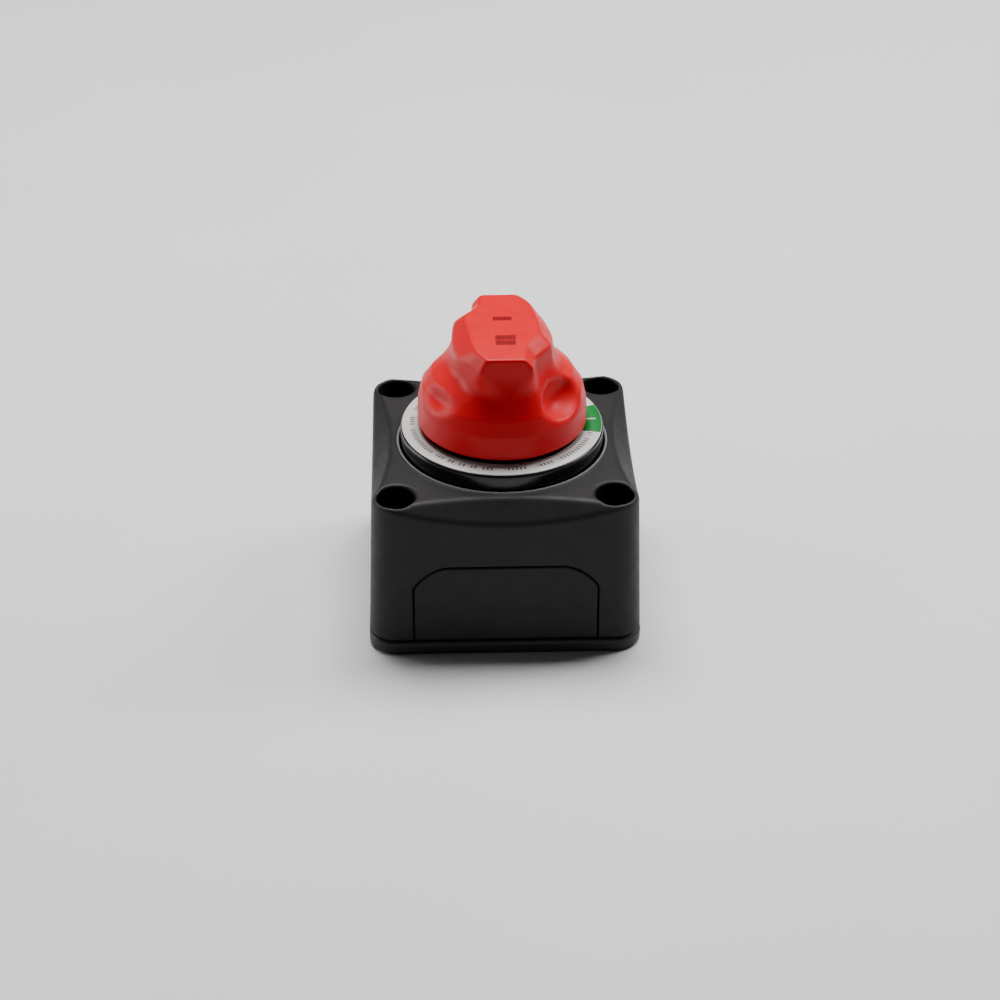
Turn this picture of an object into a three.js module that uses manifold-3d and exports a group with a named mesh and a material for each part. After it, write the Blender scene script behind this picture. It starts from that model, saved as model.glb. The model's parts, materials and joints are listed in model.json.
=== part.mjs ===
// Battery isolator switch: a surface-mounted rotary switch for one heavy direct-current circuit.
// Millimetres, +Z up. The origin is the centre of the base plate's underside, on the knob's axis.
// The knob is at OFF, its grip along Y; a quarter turn clockwise, seen from above, is ON.
import * as THREE from "three";
import { mergeVertices } from "three/addons/utils/BufferGeometryUtils.js";
import Module from "manifold-3d";

const wasm = await Module();
wasm.setup();

// ---- driving dimensions ----
const FIT = 0.3; // gap between pieces that touch or run on each other
const OVERSHOOT = 1; // how far a cutter runs past the face that it cuts

const BASE_WIDTH = 69;
const BASE_HEIGHT = 4;
const TOP_WIDTH = 66.3;
const BODY_TOP = 43; // the housing's flat top
const CORNER_RADIUS = 7;
const WALL = 2.6;
const CEILING = 37.5; // underside of the housing's roof
const TOP_BEVEL = 1.2;
const DRAFT = Math.atan((BASE_WIDTH - TOP_WIDTH) / 2 / BODY_TOP);

const HOLE_OFFSET = 27; // mounting holes, half of their 54 mm spacing
const HOLE_RADIUS = 2.75;
const WELL_RADIUS = 4.84;
const WELL_FLOOR = 9;
const POST_RADIUS = 6.6;

const WINDOW_HALF = 23;
const WINDOW_TOP = 25.5;
const WINDOW_SHOULDER = { width: 8, height: 5.9 };
const PLATE_THICKNESS = 2.85;
const PLATE_RECESS = 0.15;

const DIAL_RADIUS = 25.85;
const DIAL_TOP = 47.4;
const DIAL_ROOF = 45.2; // underside of the dial
const CASE_BORE = 23.3;
const CASE_FOOT = 29.6;
const LABEL = { inner: 20.3, outer: 25.5, bottom: 47.45, top: 47.7 };

const BLOCK = { radius: 25.5, bottom: 22.5, top: 28.2 };
const LUG = { offset: 19.8, radius: 3.2, top: CEILING - FIT };
const SCREW = { shank: 1.25, head: 2.8, headBottom: 19.9, tip: 41 };
const STUD = { offset: 15, radius: 4.9, tip: 6, headRadius: 7.5, headTop: 31.3 };

const SHAFT = { radius: 6, flangeRadius: 9, flangeBottom: 41.9, flangeTop: 43.8, square: 8.2, top: 64 };
const CARRIER = { radius: 13, bottom: 36, top: 41.6, cheekBottom: 31.9 };
const BRIDGE = { bottom: 31.6, top: 34.2, halfWidth: 6, halfLength: 21 };
const DETENT = { height: 39.2, radius: 2.3, tip: CARRIER.radius + 0.1, back: 19, springEnd: 22.8 };

const SEAT = { radius: 10, bottom: 21.7, lugSpace: 2.3 }; // what a cable lug is clamped against
const STACK = { washer: 1.8, lockWasher: 2, nut: 8 }; // heights of the parts on each stud

const THRUST_WASHER = { radius: 8.8, bottom: SHAFT.flangeTop + FIT, top: DIAL_ROOF - FIT };
const SEAL = { radius: 5.45, wire: 0.5, height: 46.3 };
const CIRCLIP = { inner: 4.9, outer: 7.6, bottom: 48.7, top: 49.5 };
const BRIDGE_SPRING = { radius: 4.2, wire: 0.4, length: 3.1, middle: 36.1, turns: 3 };
const DETENT_SPRING = { radius: 1.6, wire: 0.3, turns: 3 };

const KNOB = { skirtRadius: 21.5, channelRadius: 18.6, bottom: 49.3, channelTop: 53, top: 76 };
const HUB = { radius: 10, bottom: 50.6 };
const CLIP = { halfWidth: 3, thickness: 0.4, bottom: 52, top: 61 };

// ---- geometry helpers ----
function solid(geometry) {
  const bare = geometry.index ? geometry.toNonIndexed() : geometry.clone();
  bare.deleteAttribute("normal");
  bare.deleteAttribute("uv");
  const merged = mergeVertices(bare, 1e-4);
  const mesh = new wasm.Mesh({
    numProp: 3,
    vertProperties: merged.attributes.position.array,
    triVerts: new Uint32Array(merged.index.array),
  });
  return new wasm.Manifold(mesh);
}

function geometryOf(manifold) {
  const mesh = manifold.getMesh();
  const geometry = new THREE.BufferGeometry();
  geometry.setAttribute("position", new THREE.BufferAttribute(mesh.vertProperties, 3));
  geometry.setIndex(new THREE.BufferAttribute(mesh.triVerts, 1));
  geometry.computeVertexNormals();
  return geometry;
}

function cut(body, ...tools) {
  return tools.reduce((rest, tool) => rest.subtract(tool), body);
}

function join(...bodies) {
  return bodies.reduce((whole, body) => whole.add(body));
}

// A shape in the XY plane, extruded from one height to another.
function prism(shape, low, high, curveSegments = 8) {
  const options = { depth: high - low, bevelEnabled: false, curveSegments };
  return new THREE.ExtrudeGeometry(shape, options).translate(0, 0, low);
}

function cylinder(radius, low, high, x = 0, y = 0, segments = 20) {
  const geometry = new THREE.CylinderGeometry(radius, radius, high - low, segments);
  return solid(geometry.rotateX(Math.PI / 2).translate(x, y, (low + high) / 2));
}

function box(lowX, lowY, lowZ, highX, highY, highZ) {
  const geometry = new THREE.BoxGeometry(highX - lowX, highY - lowY, highZ - lowZ);
  return solid(geometry.translate((lowX + highX) / 2, (lowY + highY) / 2, (lowZ + highZ) / 2));
}

// A profile of [radius, height] pairs turned round the Z axis.
function turned(profile, segments = 36) {
  const points = profile.map(([radius, height]) => new THREE.Vector2(radius, height));
  return solid(new THREE.LatheGeometry(points, segments).rotateX(Math.PI / 2));
}

function ring(inner, outer, low, high, segments = 24) {
  return turned([[inner, low], [outer, low], [outer, high], [inner, high], [inner, low]], segments);
}

function roundedSquare(half, radius) {
  const straight = half - radius;
  const shape = new THREE.Shape();
  for (let corner = 0; corner < 4; corner++) {
    const start = (corner * Math.PI) / 2;
    const middle = new THREE.Vector2(straight, straight).rotateAround(new THREE.Vector2(), start);
    shape.absarc(middle.x, middle.y, radius, start, start + Math.PI / 2, false);
  }
  shape.closePath();
  return shape;
}

// Skins a stack of closed outlines, each a list of THREE.Vector3 that runs anticlockwise from above.
function loft(rings) {
  const count = rings[0].length;
  const vertices = rings.flat().flatMap((point) => [point.x, point.y, point.z]);
  const faces = [];
  for (let level = 0; level < rings.length - 1; level++) {
    for (let i = 0; i < count; i++) {
      const next = (i + 1) % count;
      const [a, b] = [level * count + i, level * count + next];
      faces.push(a, b, b + count, a, b + count, a + count);
    }
  }
  const caps = [[0, true], [rings.length - 1, false]];
  for (const [level, facesDown] of caps) {
    for (const triangle of THREE.ShapeUtils.triangulateShape(rings[level], [])) {
      const [a, b, c] = triangle.map((index) => level * count + index);
      faces.push(...(facesDown ? [a, c, b] : [a, b, c]));
    }
  }
  const geometry = new THREE.BufferGeometry();
  geometry.setAttribute("position", new THREE.Float32BufferAttribute(vertices, 3));
  geometry.setIndex(faces);
  return solid(geometry);
}

// A coil of round wire round the Z axis, centred on the origin.
class Coil extends THREE.Curve {
  constructor(radius, height, turns) {
    super();
    Object.assign(this, { radius, height, turns });
  }

  getPoint(t) {
    const angle = 2 * Math.PI * this.turns * t;
    const height = (t - 0.5) * this.height;
    return new THREE.Vector3(this.radius * Math.cos(angle), this.radius * Math.sin(angle), height);
  }
}

function spring(radius, wire, height, turns, stepsPerTurn = 10) {
  const section = new THREE.Shape().absarc(0, 0, wire, 0, 2 * Math.PI, false);
  const extrudePath = new Coil(radius, height - 2 * wire, turns);
  const options = { extrudePath, steps: turns * stepsPerTurn, curveSegments: 3 };
  return new THREE.ExtrudeGeometry(section, options);
}

const SIDES = ["front", "right", "back", "left"];
const CORNERS = [[1, -1], [1, 1], [-1, 1], [-1, -1]];
const ENDS = [["left", -1], ["right", 1]];

function atCorners(offset, make) {
  return CORNERS.map(([x, y]) => make(x * offset, y * offset));
}

// ---- outer casing ----
function halfWidth(height) {
  return THREE.MathUtils.lerp(BASE_WIDTH, TOP_WIDTH, height / BODY_TOP) / 2;
}

// A square block with the housing's draft, inset from its outer face.
function draftedBlock(inset, low, high, bevel = 0) {
  const start = halfWidth(low) - inset;
  const options = {
    depth: high - low - 2 * bevel,
    bevelEnabled: bevel > 0,
    bevelThickness: bevel,
    bevelSize: bevel,
    bevelOffset: -bevel,
    bevelSegments: 2,
    curveSegments: 6,
  };
  const shape = roundedSquare(start, CORNER_RADIUS - inset);
  const geometry = new THREE.ExtrudeGeometry(shape, options).translate(0, 0, low + bevel);
  const position = geometry.attributes.position;
  for (let i = 0; i < position.count; i++) {
    const shrink = (halfWidth(position.getZ(i)) - inset) / start;
    position.setXY(i, position.getX(i) * shrink, position.getY(i) * shrink);
  }
  return solid(geometry);
}

// The arched outline of a cable window, grown outwards by margin.
function windowOutline(margin, foot) {
  const half = WINDOW_HALF + margin;
  const top = WINDOW_TOP + margin;
  const shoulder = top - WINDOW_SHOULDER.height;
  const flat = half - WINDOW_SHOULDER.width;
  const bulge = { x: half - 2.4, y: top - 1.3 };
  const outline = new THREE.Shape();
  outline.moveTo(-half, foot);
  outline.lineTo(half, foot);
  outline.lineTo(half, shoulder);
  outline.quadraticCurveTo(bulge.x, bulge.y, flat, top);
  outline.lineTo(-flat, top);
  outline.quadraticCurveTo(-bulge.x, bulge.y, -half, shoulder);
  outline.closePath();
  return outline;
}

// Stands an outline drawn in XY up against the drafted wall on one side, its depth pointing outwards.
function standOnWall(geometry, side) {
  geometry.rotateX(Math.PI / 2 - DRAFT);
  geometry.translate(0, -BASE_WIDTH / 2, 0);
  return solid(geometry.rotateZ((side * Math.PI) / 2));
}

// The sloping hollow along one top edge is the flank of a very wide drum, tipped by 45 degrees.
function edgeScoop(side) {
  const radius = 135;
  const reach = 4.9; // how far the hollow runs in over the flat top
  const drum = new THREE.CylinderGeometry(radius, radius, 40, 140).rotateX(Math.PI / 4);
  const rise = radius * Math.SQRT1_2;
  drum.translate(0, -halfWidth(BODY_TOP) + reach - rise, BODY_TOP + rise);
  return solid(drum.rotateZ((side * Math.PI) / 2));
}

function housing() {
  const foot = BASE_HEIGHT + FIT;
  const block = draftedBlock(0, -OVERSHOOT * 4, BODY_TOP, TOP_BEVEL);
  const shell = block.intersect(box(-50, -50, foot, 50, 50, 60));
  const posts = join(...atCorners(HOLE_OFFSET, (x, y) => cylinder(POST_RADIUS, foot - 5, 45, x, y)));
  const cavity = cut(draftedBlock(WALL, foot - OVERSHOOT, CEILING), posts);
  const windows = SIDES.map((_, side) => {
    const depth = PLATE_THICKNESS + PLATE_RECESS + FIT;
    return standOnWall(prism(windowOutline(FIT, -OVERSHOOT), -depth, OVERSHOOT), side);
  });
  const scoops = SIDES.map((_, side) => edgeScoop(side));
  const wells = atCorners(HOLE_OFFSET, (x, y) => cylinder(WELL_RADIUS, WELL_FLOOR, 50, x, y));
  const holes = atCorners(HOLE_OFFSET, (x, y) => cylinder(HOLE_RADIUS, 0, 10, x, y));
  const dialHole = cylinder(DIAL_RADIUS + FIT, CEILING - 5, 50, 0, 0, 48);
  const pilots = atCorners(LUG.offset, (x, y) => cylinder(SCREW.shank + FIT, 30, SCREW.tip + FIT, x, y, 12));
  return cut(shell, cavity, ...windows, ...scoops, ...wells, ...holes, dialHole, ...pilots);
}

function sidePlate(side) {
  const foot = BASE_HEIGHT + FIT;
  const face = prism(windowOutline(0, foot), -PLATE_THICKNESS - PLATE_RECESS, -PLATE_RECESS);
  const tongueShape = new THREE.Shape();
  const tongue = { half: 19, top: WINDOW_TOP + 1.8, front: -WALL - FIT, back: -WALL - 1.6 };
  tongueShape.moveTo(-tongue.half, foot);
  tongueShape.lineTo(tongue.half, foot);
  tongueShape.lineTo(tongue.half, tongue.top);
  tongueShape.lineTo(-tongue.half, tongue.top);
  const back = prism(tongueShape, tongue.back, tongue.front);
  return join(standOnWall(face, side), standOnWall(back, side));
}

function basePlate() {
  const half = BASE_WIDTH / 2;
  const bevel = 0.5;
  const options = {
    depth: BASE_HEIGHT - 2 * bevel,
    bevelThickness: bevel,
    bevelSize: bevel,
    bevelOffset: -bevel,
    bevelSegments: 1,
  };
  const slab = new THREE.ExtrudeGeometry(roundedSquare(half, CORNER_RADIUS), options).translate(0, 0, bevel);
  const pocket = { near: 2, far: 21, depth: 0.8 };
  const pockets = CORNERS.map(([x, y]) => {
    const spanX = [pocket.near * x, pocket.far * x].sort((a, b) => a - b);
    const spanY = [pocket.near * y, pocket.far * y].sort((a, b) => a - b);
    return box(spanX[0], spanY[0], -OVERSHOOT, spanX[1], spanY[1], pocket.depth);
  });
  const holes = atCorners(HOLE_OFFSET, (x, y) => cylinder(HOLE_RADIUS, -OVERSHOOT, 10, x, y));
  const rib = { length: 30, thickness: 1.4, offset: 29, top: 7 };
  const ribs = SIDES.map((_, side) => {
    const bar = new THREE.BoxGeometry(rib.length, rib.thickness, rib.top - BASE_HEIGHT + 1);
    bar.translate(0, -rib.offset, (rib.top + BASE_HEIGHT - 1) / 2);
    return solid(bar.rotateZ((side * Math.PI) / 2));
  });
  return cut(join(solid(slab), ...ribs), ...pockets, ...holes);
}

// ---- switch case and terminals ----
function lugs(low, high) {
  return atCorners(LUG.offset, (x, y) => cylinder(LUG.radius, low, high, x, y, 16));
}

function lugHoles() {
  return atCorners(LUG.offset, (x, y) => cylinder(SCREW.shank + FIT, 15, 45, x, y, 12));
}

function switchCase() {
  const shaftBore = SHAFT.radius + FIT;
  const collar = { radius: 9, top: 48.4 };
  const shell = turned([
    [shaftBore, DIAL_ROOF],
    [CASE_BORE, DIAL_ROOF],
    [CASE_BORE, CASE_FOOT],
    [DIAL_RADIUS, CASE_FOOT],
    [DIAL_RADIUS, DIAL_TOP - 0.4],
    [DIAL_RADIUS - 0.4, DIAL_TOP],
    [collar.radius, DIAL_TOP],
    [collar.radius, collar.top],
    [shaftBore, collar.top],
    [shaftBore, DIAL_ROOF],
  ], 48);
  const bore = cylinder(CASE_BORE, CASE_FOOT - OVERSHOOT, DIAL_ROOF - OVERSHOOT, 0, 0, 48);
  const ears = lugs(CASE_FOOT, LUG.top).map((ear) => cut(ear, bore));
  const pockets = ENDS.map(([, sign]) => {
    const block = { near: 15.6, far: CASE_BORE + 0.6, half: 4.2, bottom: 35.6 };
    const ends = [block.near * sign, block.far * sign].sort((a, b) => a - b);
    return box(ends[0], -block.half, block.bottom, ends[1], block.half, DIAL_ROOF + 0.4);
  });
  const bores = ENDS.map(([, sign]) => {
    return alongX(DETENT.radius + FIT, sign * 10, sign * (DETENT.springEnd + FIT));
  });
  return cut(join(shell, ...ears, ...pockets), ...lugHoles(), ...bores);
}

// A round bar along X at the height of the detents.
function alongX(radius, from, to, segments = 16) {
  const geometry = new THREE.CylinderGeometry(radius, radius, Math.abs(to - from), segments);
  return solid(geometry.rotateZ(Math.PI / 2).translate((from + to) / 2, 0, DETENT.height));
}

function terminalBlock() {
  const disc = cylinder(BLOCK.radius, BLOCK.bottom, BLOCK.top, 0, 0, 36);
  const wall = { half: 1, reach: 18, foot: 13 }; // keeps the two cable lugs apart
  const barrier = box(-wall.half, -wall.reach, wall.foot, wall.half, wall.reach, BLOCK.bottom + 0.5);
  const seats = ENDS.map(([, sign]) => {
    return cylinder(SEAT.radius, SEAT.bottom, BLOCK.bottom + 0.5, sign * STUD.offset, 0, 30);
  });
  const studHoles = ENDS.map(([, sign]) => cylinder(STUD.radius + FIT, 15, 35, sign * STUD.offset, 0, 20));
  return cut(join(disc, barrier, ...seats, ...lugs(BLOCK.bottom, BLOCK.top)), ...studHoles, ...lugHoles());
}

function caseGasket() {
  const low = BLOCK.top + FIT;
  const high = CASE_FOOT - FIT;
  const band = ring(CASE_BORE + 0.3, DIAL_RADIUS, low, high, 36);
  const hollow = cylinder(CASE_BORE + 0.3, low - OVERSHOOT, high + OVERSHOOT, 0, 0, 36);
  return cut(join(band, ...lugs(low, high).map((ear) => cut(ear, hollow))), ...lugHoles());
}

function caseScrew(x, y) {
  const headTop = BLOCK.bottom - FIT;
  const head = cylinder(SCREW.head, SCREW.headBottom, headTop, x, y, 12);
  const shank = cylinder(SCREW.shank, headTop - 0.5, SCREW.tip, x, y, 8);
  const slots = [[2, 0.4], [0.4, 2]].map(([a, b]) => {
    return box(x - a, y - b, SCREW.headBottom - OVERSHOOT, x + a, y + b, SCREW.headBottom + 1);
  });
  return cut(join(head, shank), ...slots);
}

function terminalStud(x) {
  const headBottom = BLOCK.top + FIT;
  const head = cylinder(STUD.headRadius, headBottom, STUD.headTop, x, 0, 24);
  const chamfer = 0.8;
  const shank = turned([
    [0, STUD.tip],
    [STUD.radius - chamfer, STUD.tip],
    [STUD.radius, STUD.tip + chamfer],
    [STUD.radius, headBottom + 0.5],
    [0, headBottom + 0.5],
  ], 20);
  return join(head, shank.translate(x, 0, 0));
}

function lockWasher(x, low, high) {
  const slit = box(x - 0.6, 2, low - OVERSHOOT, x + 0.6, 12, high + OVERSHOOT);
  return cut(ring(STUD.radius + FIT, 8.4, low, high).translate(x, 0, 0), slit);
}

function nut(x, low, high) {
  const acrossFlats = 17;
  const circumradius = acrossFlats / Math.sqrt(3);
  const hexagon = new THREE.CylinderGeometry(circumradius, circumradius, high - low, 6).rotateX(Math.PI / 2);
  const body = solid(hexagon.translate(x, 0, (low + high) / 2));
  return cut(body, cylinder(STUD.radius + FIT, low - OVERSHOOT, high + OVERSHOOT, x, 0, 20));
}

// ---- rotor ----
function rotorShaft() {
  const sealGroove = { radius: 4.7, bottom: 45.6, top: 47 };
  const clipGroove = { radius: 4.6, bottom: 48.4, top: 49.8 };
  const barrelTop = 50.2;
  const barrel = turned([
    [0, SHAFT.flangeBottom],
    [SHAFT.flangeRadius, SHAFT.flangeBottom],
    [SHAFT.flangeRadius, SHAFT.flangeTop],
    [SHAFT.radius, SHAFT.flangeTop],
    [SHAFT.radius, sealGroove.bottom],
    [sealGroove.radius, sealGroove.bottom],
    [sealGroove.radius, sealGroove.top],
    [SHAFT.radius, sealGroove.top],
    [SHAFT.radius, clipGroove.bottom],
    [clipGroove.radius, clipGroove.bottom],
    [clipGroove.radius, clipGroove.top],
    [SHAFT.radius, clipGroove.top],
    [SHAFT.radius, barrelTop - 0.3],
    [SHAFT.radius - 0.3, barrelTop],
    [0, barrelTop],
  ], 24);
  const half = SHAFT.square / 2;
  const drive = box(-half, -half, barrelTop - 0.5, half, half, SHAFT.top);
  const foot = box(-3.5, -3.5, CARRIER.top - 1.9, 3.5, 3.5, SHAFT.flangeBottom + 0.5);
  return join(barrel, drive, foot);
}

function contactCarrier() {
  const disc = cylinder(CARRIER.radius, CARRIER.bottom, CARRIER.top, 0, 0, 36);
  const cheeks = [-1, 1].map((sign) => {
    const ends = [sign * (BRIDGE.halfWidth + 0.5), sign * 10.8].sort((a, b) => a - b);
    return box(ends[0], -7, CARRIER.cheekBottom, ends[1], 7, CARRIER.bottom + 0.5);
  });
  const springPocket = cylinder(5.3, CARRIER.bottom - OVERSHOOT, 38);
  const pin = cylinder(2, 32.6, 38.4, 0, 0, 12);
  const socket = box(-3.8, -3.8, CARRIER.top - 2.2, 3.8, 3.8, CARRIER.top + OVERSHOOT);
  const dimples = [0, 1, 2, 3].map((quarter) => {
    const ball = new THREE.SphereGeometry(2.7, 12, 8).translate(CARRIER.radius + 2.25, 0, DETENT.height);
    return solid(ball.rotateZ((quarter * Math.PI) / 2));
  });
  return cut(join(cut(join(disc, ...cheeks), springPocket), pin), socket, ...dimples);
}

function contactBridge() {
  const { halfWidth: half, halfLength: reach, bottom, top } = BRIDGE;
  const straight = reach - half;
  const outline = new THREE.Shape();
  outline.absarc(0, straight, half, 0, Math.PI, false);
  outline.absarc(0, -straight, half, Math.PI, 2 * Math.PI, false);
  outline.closePath();
  const pinHole = cylinder(2.4, bottom - OVERSHOOT, top + OVERSHOOT, 0, 0, 16);
  return cut(solid(prism(outline, bottom, top)), pinHole);
}

// A headed pin along X whose round nose faces the carrier.
function detentPlunger(sign) {
  const nose = DETENT.radius;
  const arc = Array.from({ length: 5 }, (_, i) => {
    const angle = (i / 4) * (Math.PI / 2);
    return [nose * Math.sin(angle), -nose * Math.cos(angle)];
  });
  const back = DETENT.back - DETENT.tip - nose;
  const body = turned([...arc, [nose, back], [0, back]], 14);
  return body.rotate([0, 90 * sign, 0]).translate(sign * (DETENT.tip + nose), 0, DETENT.height);
}

function detentSpring(sign) {
  const length = DETENT.springEnd - DETENT.back - FIT;
  const middle = DETENT.springEnd - length / 2;
  const { radius, wire, turns } = DETENT_SPRING;
  return spring(radius, wire, length, turns).rotateY(Math.PI / 2).translate(sign * middle, 0, DETENT.height);
}

// ---- knob ----
// Half of the grip's corners, from its near end, along its right side, to its far end.
// The other half is the same turned by 180 degrees. Each corner has a place low on the
// flank, where the chamfer starts, and one on the top's edge.
const GRIP = [
  { flank: [7.2, -17.5, 72.8], edge: [4.7, -17.5] },
  { flank: [7.5, -12.8, 73], edge: [5.9, -9.6] },
  { flank: [12.5, -6, 73.4], edge: [9, -6.1] },
  { flank: [13.1, -0.5, 72], edge: [10.2, -1] },
  { flank: [12.9, 4.5, 72], edge: [9.9, 5] },
  { flank: [11.2, 9.9, 71.6], edge: [8.1, 11.7] },
  { flank: [6.1, 17.6, 71], edge: [4.2, 17.5] },
];
const GRIP_REACH = 17.5;
const GRIP_FOOT = 55;
const CROWN_DROP = 0.7; // how much lower the top is at its two ends

// Finger hollows beside the grip: each is an ellipsoid, with its twin on the other side.
const HOLLOWS = [
  { centre: [14.4, -12, 62.6], radii: [8.6, 8.6, 6.8] },
  { centre: [-24.5, -16.5, 61.8], radii: [12, 12, 4] },
];

function gripRing(place) {
  const half = GRIP.map((corner) => place(corner));
  const turnedHalf = half.map((point) => new THREE.Vector3(-point.x, -point.y, point.z));
  return [...half, ...turnedHalf];
}

function grip() {
  const foot = gripRing(({ flank: [x, y] }) => new THREE.Vector3(x, y, GRIP_FOOT));
  const flank = gripRing(({ flank: [x, y, z] }) => new THREE.Vector3(x, y, z));
  const top = gripRing(({ edge: [x, y] }) => {
    return new THREE.Vector3(x, y, KNOB.top - CROWN_DROP * (y / GRIP_REACH) ** 2);
  });
  return loft([foot, flank, top]);
}

function fingerHollows({ centre: [x, y, z], radii }) {
  return [1, -1].map((sign) => {
    const ball = new THREE.SphereGeometry(1, 24, 16).rotateX(Math.PI / 2);
    return solid(ball.scale(...radii).translate(sign * x, sign * y, z));
  });
}

function knob() {
  const { skirtRadius, channelRadius, bottom, channelTop } = KNOB;
  const dome = turned([
    [0, bottom],
    [skirtRadius - 0.5, bottom],
    [skirtRadius, bottom + 0.5],
    [skirtRadius - 0.2, 55.5],
    [20.3, 59.6],
    [17.8, 63.2],
    [13, 67.4],
    [0, 67.8],
  ], 48);
  const body = join(cut(dome, ...HOLLOWS.flatMap(fingerHollows)), grip());
  const channel = ring(HUB.radius, channelRadius, bottom - OVERSHOOT, channelTop, 36);
  const underHub = cylinder(HUB.radius + 0.5, bottom - OVERSHOOT, HUB.bottom, 0, 0, 36);
  const bore = SHAFT.square / 2 + FIT;
  const socket = box(-bore, -bore, bottom, bore, bore, SHAFT.top + FIT);
  const clipHalf = CLIP.halfWidth + FIT;
  const clipSlot = box(-clipHalf, bore - 0.2, bottom, clipHalf, bore + 0.8, CLIP.top + 1);
  return cut(body, channel, underHub, socket, clipSlot);
}

function knobSpringClip() {
  const near = SHAFT.square / 2 + FIT + 0.1;
  return box(-CLIP.halfWidth, near, CLIP.bottom, CLIP.halfWidth, near + CLIP.thickness, CLIP.top);
}

// ---- assembly ----
const COLOURS = {
  charcoal: { color: 0x26241f, roughness: 0.55, metalness: 0 },
  black: { color: 0x0c0c0d, roughness: 0.3, metalness: 0 },
  red: { color: 0xd2232a, roughness: 0.35, metalness: 0 },
  white: { color: 0xe8e8e4, roughness: 0.5, metalness: 0 },
  amber: { color: 0x8a7a58, roughness: 0.6, metalness: 0 },
  rubber: { color: 0x171717, roughness: 0.85, metalness: 0 },
  copper: { color: 0xb87345, roughness: 0.35, metalness: 1 },
  tin: { color: 0xb9b8b4, roughness: 0.35, metalness: 1 },
  steel: { color: 0x9a9ca0, roughness: 0.3, metalness: 1 },
  brass: { color: 0xb5965a, roughness: 0.35, metalness: 1 },
};

const model = new THREE.Group();

function place(name, shape, colour) {
  const geometry = shape.isBufferGeometry ? shape : geometryOf(shape);
  const mesh = new THREE.Mesh(geometry, new THREE.MeshStandardMaterial(COLOURS[colour]));
  mesh.name = name;
  model.add(mesh);
}

place("base_plate", basePlate(), "black");
place("housing", housing(), "charcoal");
SIDES.forEach((side, index) => place(`side_plate_${side}`, sidePlate(index), "charcoal"));

place("switch_case", switchCase(), "black");
place("label_ring", ring(LABEL.inner, LABEL.outer, LABEL.bottom, LABEL.top, 48), "white");
place("terminal_block", terminalBlock(), "amber");
place("case_gasket", caseGasket(), "rubber");
CORNERS.forEach(([x, y], index) => {
  place(`case_screw_${index + 1}`, caseScrew(x * LUG.offset, y * LUG.offset), "steel");
});

for (const [side, sign] of ENDS) {
  const x = sign * STUD.offset;
  const washerTop = SEAT.bottom - SEAT.lugSpace;
  const lockTop = washerTop - STACK.washer - FIT;
  const nutTop = lockTop - STACK.lockWasher - FIT;
  const washer = ring(STUD.radius + FIT, SEAT.radius, washerTop - STACK.washer, washerTop);
  place(`terminal_stud_${side}`, terminalStud(x), "tin");
  place(`stud_washer_${side}`, washer.translate(x, 0, 0), "tin");
  place(`lock_washer_${side}`, lockWasher(x, lockTop - STACK.lockWasher, lockTop), "steel");
  place(`stud_nut_${side}`, nut(x, nutTop - STACK.nut, nutTop), "steel");
  place(`detent_plunger_${side}`, detentPlunger(sign), "steel");
  place(`detent_spring_${side}`, detentSpring(sign), "steel");
}

place("rotor_shaft", rotorShaft(), "brass");
const { radius: washerRadius, bottom: washerBottom, top: washerTop } = THRUST_WASHER;
place("thrust_washer", ring(SHAFT.radius + FIT, washerRadius, washerBottom, washerTop), "white");
const seal = new THREE.TorusGeometry(SEAL.radius, SEAL.wire, 6, 24);
place("shaft_seal", seal.translate(0, 0, SEAL.height), "rubber");
place("shaft_circlip", ring(CIRCLIP.inner, CIRCLIP.outer, CIRCLIP.bottom, CIRCLIP.top), "steel");
place("contact_carrier", contactCarrier(), "amber");
place("contact_bridge", contactBridge(), "copper");
const { radius: coilRadius, wire, length, middle, turns } = BRIDGE_SPRING;
place("bridge_spring", spring(coilRadius, wire, length, turns).translate(0, 0, middle), "steel");
place("knob", knob(), "red");
place("knob_spring_clip", knobSpringClip(), "steel");

export default model;
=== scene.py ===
"""The looks of a battery isolator switch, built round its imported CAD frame.

The shape functions work in millimetres, in the frame's own axes; meshes are made in metres.
A moulded piece is a signed distance function, which is negative inside the plastic. It is
meshed with one vertex in each grid cell that the surface crosses.
"""

import json
import math

import bpy
import numpy as np
from mathutils import Matrix, Vector


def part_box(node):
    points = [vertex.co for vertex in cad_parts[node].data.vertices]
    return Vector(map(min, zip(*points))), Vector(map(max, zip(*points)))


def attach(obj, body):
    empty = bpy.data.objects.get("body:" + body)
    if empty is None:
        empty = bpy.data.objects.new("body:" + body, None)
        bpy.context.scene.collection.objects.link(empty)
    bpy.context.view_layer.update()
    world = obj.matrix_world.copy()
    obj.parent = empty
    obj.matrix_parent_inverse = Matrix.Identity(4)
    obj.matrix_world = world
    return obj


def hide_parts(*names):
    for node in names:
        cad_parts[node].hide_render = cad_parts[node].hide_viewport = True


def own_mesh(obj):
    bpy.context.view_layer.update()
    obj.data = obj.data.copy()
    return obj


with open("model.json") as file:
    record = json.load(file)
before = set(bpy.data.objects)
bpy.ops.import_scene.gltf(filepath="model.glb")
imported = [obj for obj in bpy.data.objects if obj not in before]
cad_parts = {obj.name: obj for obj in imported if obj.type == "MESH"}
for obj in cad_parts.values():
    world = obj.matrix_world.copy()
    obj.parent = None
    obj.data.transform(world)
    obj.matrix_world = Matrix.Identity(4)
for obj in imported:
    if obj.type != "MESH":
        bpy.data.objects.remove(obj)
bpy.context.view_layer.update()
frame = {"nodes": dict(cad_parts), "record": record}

MM = 0.001
SIDES = ("front", "right", "back", "left")


# ---------------------------------------------------------------- dimensions, from the frame
def node_box(name):
    low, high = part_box(name)
    return np.array(low) / MM, np.array(high) / MM


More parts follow.
